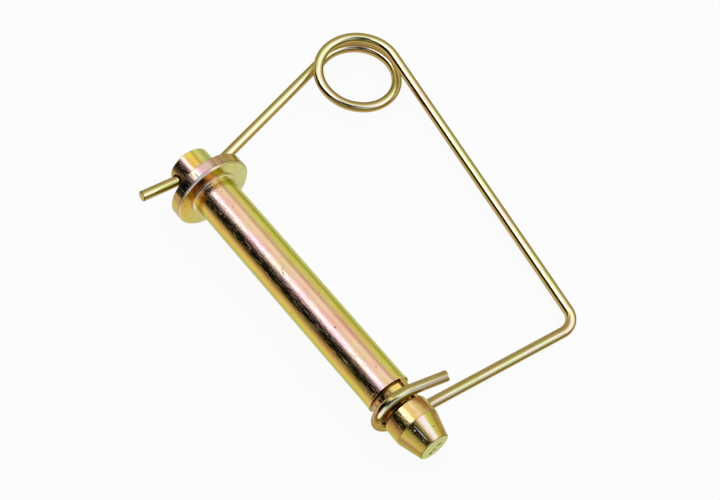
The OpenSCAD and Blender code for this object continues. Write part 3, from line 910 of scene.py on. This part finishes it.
class HITCH_OT_bend_wire(bpy.types.Operator):
    """Bends the spring wire along its route, from the stub through the coil to the hook"""

    bl_idname = "hitch.bend_wire"
    bl_label = "Bend the wire"

    def execute(self, context):
        sizes = context.scene.hitch_wire_sizes
        pin = context.scene.hitch_pin_sizes
        looks = context.scene.hitch_plating
        corners, radii = self.route(sizes, pin)
        bm = bmesh.new()
        notes = {name: bm.verts.layers.float.new(name) for name in ("run", "turn", "upper", "near")}
        ends = self.sweep(bm, notes, corners, radii, sizes)
        self.round_ends(bm, notes, ends, sizes)
        self.write_maps(bm, notes)
        bmesh.ops.recalc_face_normals(bm, faces=bm.faces)
        for face in bm.faces:
            face.smooth = True
        # A dark ring at the stub's cut end, in the colour of pits and edge shade.
        cut_end = [(0.2 * MM, 0.17 * MM, 0.8)]
        grip_marks = {"start": 447.0 * MM, "end": 456.0 * MM, "pitch": 0.6 * MM, "height": 3.5}
        steel = plated_steel(
            "Plated wire", looks, wire_place, wire_tint, clouds=(150.0, 0.5, 0.6), pits=(600.0, 0.03),
            dark_rings=cut_end, lines=0.2, depth=0.003, edge=(0.52, 0.46, 0.26), ribs=grip_marks,
        )
        wire = new_object("clip_wire", bm, [steel])
        even_shading(wire)
        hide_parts("wire_clip")
        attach(wire, "clip")
        return {"FINISHED"}

    def route(self, w, p):
        """The wire's corners from the stub to the free end, and the bend radius at each."""
        wire_r = w.wire_d / 2
        head_r = p.head_d / 2
        floor_r = p.shank_d / 2 - p.groove_depth
        groove_mid = p.grip_len + p.groove_w / 2
        hook_r = floor_r + wire_r + w.hook_gap

        def on_pin(at, out, rise):
            """A point from its place along the pin, across it and above its axis."""
            return ALONG * at + ACROSS * out + UP * rise

        stub_dir = HOLE_DIR * math.cos(w.wire_lean) + ALONG * math.sin(w.wire_lean)
        stub_end = HOLE_MID - stub_dir * (head_r + w.stub_out)
        head_bend = HOLE_MID + stub_dir * (head_r + w.head_bend_out)
        corner = Vector((groove_mid + w.corner_past, w.corner_out, TABLE_Z + wire_r))

        coil_up = Vector((w.coil_fall, w.coil_fall, 1.0)).normalized()
        coil_x = Vector((1.0, 0.0, -w.coil_fall)).normalized()
        coil_y = coil_up.cross(coil_x)
        coil_r = w.coil_d / 2
        coil_bends, tries_a_bend = 10, 10

        def tangent(point, middle, side):
            """The angle at which a line from a point touches the coil."""
            v = point - middle
            x, y = v.dot(coil_x), v.dot(coil_y)
            return math.atan2(y, x) + side * math.acos(coil_r / math.hypot(x, y))

        def coil_turn(middle):
            """The angle at which the wire reaches the coil, and how far each bend turns it."""
            arrive = tangent(head_bend, middle, -1)
            depart = tangent(corner, middle, 1)
            return arrive, ((arrive - depart + 4 * math.pi) % (2 * math.pi) + 2 * math.pi) / coil_bends

        def coil_at(middle, t, r):
            """The coil's place after t bends, at a radius r."""
            arrive, bend = coil_turn(middle)
            a = arrive - t * bend
            rise = t * bend / (2 * math.pi) * w.coil_pitch
            return middle + (coil_x * math.cos(a) + coil_y * math.sin(a)) * r + coil_up * rise

        # The coil is lifted until its lowest point clears the table.
        flat = Vector((HOLE_MID.x - w.coil_back, w.coil_out, TABLE_Z + wire_r))
        tries = range(tries_a_bend * coil_bends + 1)
        low = min(coil_at(flat, k / tries_a_bend, coil_r).z for k in tries)
        middle = flat + Vector((0, 0, TABLE_Z + wire_r + w.coil_gap - low))
        apex_r = coil_r / math.cos(coil_turn(middle)[1] / 2)
        coil = [coil_at(middle, k + 0.5, apex_r) for k in range(coil_bends)]

        low_bend = on_pin(groove_mid + w.hook_low, -hook_r, -hook_r)
        high_bend = on_pin(groove_mid + w.hook_high, -hook_r, hook_r)
        crest = on_pin(groove_mid + w.crest_past, w.crest_out, hook_r)
        free_end = on_pin(groove_mid + w.end_past, w.end_out, hook_r)
        # Bends a little tighter than the coil leave a short straight between them.
        ease = 0.97
        corners = [stub_end, head_bend, *coil, corner, low_bend, high_bend, crest, free_end]
        coil_radii, hook_radii = [coil_r * ease] * coil_bends, [hook_r * ease] * 2
        radii = [0.0, w.head_bend_r, *coil_radii, w.corner_r, *hook_radii, w.crest_r, 0.0]
        return corners, radii

    def sweep(self, bm, notes, corners, radii, w):
        """Extrudes a round section down each straight and spins it round each bend.

        Returns the ring at each end with its spot: its middle, its run along the wire, its top and its side.
        """
        bend_step = math.radians(1.5)
        legs = [(b - a).normalized() for a, b in zip(corners, corners[1:])]
        turns = [0.0] + [a.angle(b) for a, b in zip(legs, legs[1:])] + [0.0]
        takes = [r * math.tan(t / 2) for r, t in zip(radii, turns)]
        middle, run = corners[0].copy(), 0.0
        side = legs[0].cross(Vector((0, 0, 1))).normalized()
        top = side.cross(legs[0])
        facing = Matrix((side, top, -legs[0])).transposed().to_4x4()
        ring = bmesh.ops.create_circle(
            bm, cap_ends=False, segments=WIRE_SIDES, radius=w.wire_d / 2,
            matrix=Matrix.Translation(middle) @ facing,
        )["verts"]
        first_end = list(ring), (middle, run, top, side)
        self.stamp(notes, *first_end)
        edges = edges_at(ring)
        for i, leg in enumerate(legs):
            straight = (corners[i + 1] - corners[i]).length - takes[i] - takes[i + 1]
            ring, edges = points_and_edges(bmesh.ops.extrude_edge_only(bm, edges=edges)["geom"])
            edges = [e for e in edges if all(v in ring for v in e.verts)]
            bmesh.ops.translate(bm, verts=ring, vec=leg * straight)
            middle, run = middle + leg * straight, run + straight
            self.stamp(notes, ring, (middle, run, top, side))
            if i + 1 == len(legs):
                break
            axis = leg.cross(legs[i + 1]).normalized()
            centre = middle + axis.cross(leg) * radii[i + 1]
            steps = max(2, math.ceil(turns[i + 1] / bend_step))
            part = turns[i + 1] / steps
            turn = Matrix.Rotation(part, 3, axis)
            for _ in range(steps):
                spun = bmesh.ops.spin(
                    bm, geom=ring + edges, cent=centre, axis=axis, dvec=(0, 0, 0), angle=part, steps=1,
                    use_merge=False,
                )
                ring, edges = points_and_edges(spun["geom_last"])
                middle = centre + turn @ (middle - centre)
                top, side = turn @ top, turn @ side
                run += part * radii[i + 1]
                self.stamp(notes, ring, (middle, run, top, side))
        return first_end, (ring, (middle, run, top, side))

    def stamp(self, notes, ring, spot):
        """Notes where each point of a ring lies along the wire, round it and towards its painted highlight
        and painted dark line.
        """
        middle, run, top, side = spot
        leg = top.cross(side)
        lead = PAINTED_HIGHLIGHT_WAY - leg * PAINTED_HIGHLIGHT_WAY.dot(leg)
        # Where the wire itself runs nearly that way, it gets less of the painted highlight.
        lead *= 1.0 + (1.0 / lead.length - 1.0) * smooth(0.62, 0.85, lead.length)
        for vert in ring:
            arm = vert.co - middle
            vert[notes["run"]] = run + arm.dot(leg)
            vert[notes["turn"]] = math.atan2(arm.dot(side), arm.dot(top)) / (2 * math.pi) + 0.5
            arm.normalize()
            vert[notes["upper"]] = arm.dot(lead) / 2 + 0.5
            vert[notes["near"]] = arm.dot(PAINTED_DARK_LINE_WAY) / 2 + 0.5

    def round_ends(self, bm, notes, ends, w):
        """Closes both cut ends, rounds their edges and gives each flat the same one tint."""
        flat_upper, flat_near = 0.967, 0.3
        flat_within = 0.001 * MM
        for ring, spot in ends:
            rim = [edge for edge in edges_at(ring) if edge.is_boundary]
            bmesh.ops.edgeloop_fill(bm, edges=rim)
            rounded_rim = bmesh.ops.bevel(
                bm, geom=rim, offset=w.end_round, offset_type="OFFSET", segments=4, profile=0.5,
                affect="EDGES", material=-1, clamp_overlap=True,
            )["verts"]
            self.stamp(notes, rounded_rim, spot)
            middle, _, top, side = spot
            for vert in rounded_rim:
                if abs((vert.co - middle).dot(top.cross(side))) < flat_within:
                    vert[notes["upper"]], vert[notes["near"]] = flat_upper, flat_near

    def write_maps(self, bm, notes):
        """Writes the notes to two UV maps, where a face across the seam reads on past its end."""
        run_map = bm.loops.layers.uv.new("Wire run")
        # The Lean map holds where the wire's painted highlight and painted dark line fall.
        lean_map = bm.loops.layers.uv.new("Lean")
        turn_at = notes["turn"]
        for face in bm.faces:
            seam = max(v[turn_at] for v in face.verts) - min(v[turn_at] for v in face.verts) > 0.5
            for loop in face.loops:
                vert = loop.vert
                wrap = 1.0 if seam and vert[turn_at] < 0.5 else 0.0
                loop[run_map].uv = (vert[notes["run"]], vert[turn_at] + wrap + 0.5)
                loop[lean_map].uv = (vert[notes["upper"]], vert[notes["near"]])


# ---------------------------------------------------------------- the stage

class HITCH_OT_set_stage(bpy.types.Operator):
    """Lays the floor, hangs the lamps and places the camera"""

    bl_idname = "hitch.set_stage"
    bl_label = "Set the stage"

    def execute(self, context):
        looks = context.scene.hitch_stage
        self.floor(looks)
        self.room(context.scene, looks)
        self.lamps(looks)
        self.camera(context.scene, looks)
        context.scene.view_settings.view_transform = "Standard"
        return {"FINISHED"}

    def floor(self, looks):
        """A wide pale floor that shows white and keeps a faint shadow."""
        material = bpy.data.materials.new("Pale floor")
        material.use_nodes = True
        tree = material.node_tree
        tree.nodes.clear()
        paper = lay(tree, "BsdfPrincipled", {"Base Color": (*looks.floor, 1.0), "Roughness": 0.9})
        white = lay(tree, "Emission", {"Strength": 1.0})
        path = lay(tree, "LightPath").outputs
        seen = maths(tree, "MAXIMUM", path["Is Camera Ray"], path["Is Glossy Ray"])
        seen = maths(tree, "MAXIMUM", seen, path["Is Transmission Ray"])
        whiteness = maths(tree, "MULTIPLY", seen, looks.whiteness)
        both = {"Fac": whiteness, 1: paper.outputs["BSDF"], 2: white.outputs["Emission"]}
        mix = lay(tree, "MixShader", both)
        lay(tree, "OutputMaterial", {"Surface": mix.outputs["Shader"]})
        bm = bmesh.new()
        bmesh.ops.create_grid(bm, x_segments=1, y_segments=1, size=3.0)
        bmesh.ops.translate(bm, verts=bm.verts, vec=(0, 0, TABLE_Z))
        floor = new_object("pale_floor", bm, [material])

    def room(self, scene, looks):
        """A pale room, dark on the camera's side above the table, that shows white behind the object."""
        world = bpy.data.worlds.new("Studio room")
        scene.world = world
        world.use_nodes = True
        tree = world.node_tree
        tree.nodes.clear()
        look = lay(tree, "TexCoord").outputs["Generated"]
        at = parts(tree, look)

        def toward(direction):
            dot = lay(tree, "VectorMath", {0: look, 1: direction}, operation="DOT_PRODUCT")
            return dot.outputs["Value"]

        camera_side = step(tree, toward(DARK_WAY), 0.16, 0.44)
        near_side = step(tree, toward((-0.3, -0.95, 0.0)), 0.45, 0.75)
        above = step(tree, at["Z"], -0.02, 0.06)
        shade = maths(tree, "MULTIPLY", maths(tree, "MAXIMUM", camera_side, near_side), above)
        # Two pale cards lighten the dark side: a low one towards -Y and one beyond the nose.
        low_card = step(tree, at["X"], -0.06, 0.10)
        low_card = maths(tree, "MULTIPLY", low_card, step(tree, at["Z"], 0.57, 0.43))
        low_card = maths(tree, "MULTIPLY", low_card, step(tree, at["Y"], -0.60, -0.75))
        end_card = maths(tree, "MULTIPLY", step(tree, at["X"], 0.6, 0.9), 0.7)
        cards = maths(tree, "MAXIMUM", low_card, end_card)
        shade = maths(tree, "MULTIPLY", shade, maths(tree, "MULTIPLY_ADD", cards, -0.75, 1.0))
        pale = lay(tree, "Background", {"Color": blend(tree, shade, (looks.sky,) * 3, (looks.dark,) * 3)})
        white = lay(tree, "Background", {"Color": (1.0, 1.0, 1.0, 1.0)})
        seen = lay(tree, "LightPath").outputs["Is Camera Ray"]
        both = {"Fac": seen, 1: pale.outputs["Background"], 2: white.outputs["Background"]}
        mix = lay(tree, "MixShader", both)
        lay(tree, "OutputWorld", {"Surface": mix.outputs["Shader"]})

    def lamps(self, looks):
        """One long strip lamp over the pin, which faces the object's middle."""
        away = Vector((-0.355, -0.329, 0.875)).normalized()
        lamp = bpy.data.lights.new("Strip lamp", "AREA")
        lamp.shape = "RECTANGLE"
        lamp.size, lamp.size_y = 1.3, 0.22
        lamp.energy = looks.strip
        strip = bpy.data.objects.new("Strip lamp", lamp)
        strip.location = away
        short_way = away.cross(Vector((1, 0, 0))).normalized()
        long_way = short_way.cross(away).normalized()
        strip.rotation_euler = Matrix((long_way, short_way, away)).transposed().to_euler()
        bpy.context.scene.collection.objects.link(strip)

    def camera(self, scene, looks):
        """The camera, looking down over the nose."""
        data = bpy.data.cameras.new("Camera")
        data.sensor_width = 36.0
        data.lens = looks.lens
        data.clip_start = 0.01
        camera = bpy.data.objects.new("Camera", data)
        place = Vector(looks.camera_at)
        camera.location = place
        camera.rotation_euler = (Vector(looks.camera_aim) - place).to_track_quat("-Z", "Y").to_euler()
        scene.collection.objects.link(camera)
        scene.camera = camera


class HITCH_PT_workshop(bpy.types.Panel):
    """Lists the steps that make the hitch pin, and its sizes and looks"""

    bl_label = "Hitch Pin"
    bl_idname = "HITCH_PT_workshop"
    bl_space_type = "VIEW_3D"
    bl_region_type = "UI"
    bl_category = "Hitch Pin"

    def draw(self, context):
        column = self.layout.column()
        for operator in OPERATORS:
            column.operator(operator.bl_idname)
        for name, group in GROUPS.items():
            settings = getattr(context.scene, name)
            box = self.layout.box()
            box.label(text=group.__doc__)
            for key in group.__annotations__:
                box.prop(settings, key)


OPERATORS = (HITCH_OT_turn_pin, HITCH_OT_bend_wire, HITCH_OT_set_stage)
GROUPS = {
    "hitch_pin_sizes": HitchPinSizes,
    "hitch_wire_sizes": ClipWireSizes,
    "hitch_plating": PlatingLooks,
    "hitch_stage": StageLooks,
}


def register():
    for group in GROUPS.values():
        bpy.utils.register_class(group)
    for operator in OPERATORS:
        bpy.utils.register_class(operator)
    bpy.utils.register_class(HITCH_PT_workshop)
    for name, group in GROUPS.items():
        setattr(bpy.types.Scene, name, bpy.props.PointerProperty(type=group))


def unregister():
    for name in GROUPS:
        delattr(bpy.types.Scene, name)
    bpy.utils.unregister_class(HITCH_PT_workshop)
    for operator in reversed(OPERATORS):
        bpy.utils.unregister_class(operator)
    for group in reversed(list(GROUPS.values())):
        bpy.utils.unregister_class(group)


def main():
    register()
    bpy.ops.hitch.set_stage()
    bpy.ops.hitch.turn_pin()
    bpy.ops.hitch.bend_wire()


if __name__ == "__main__":
    main()
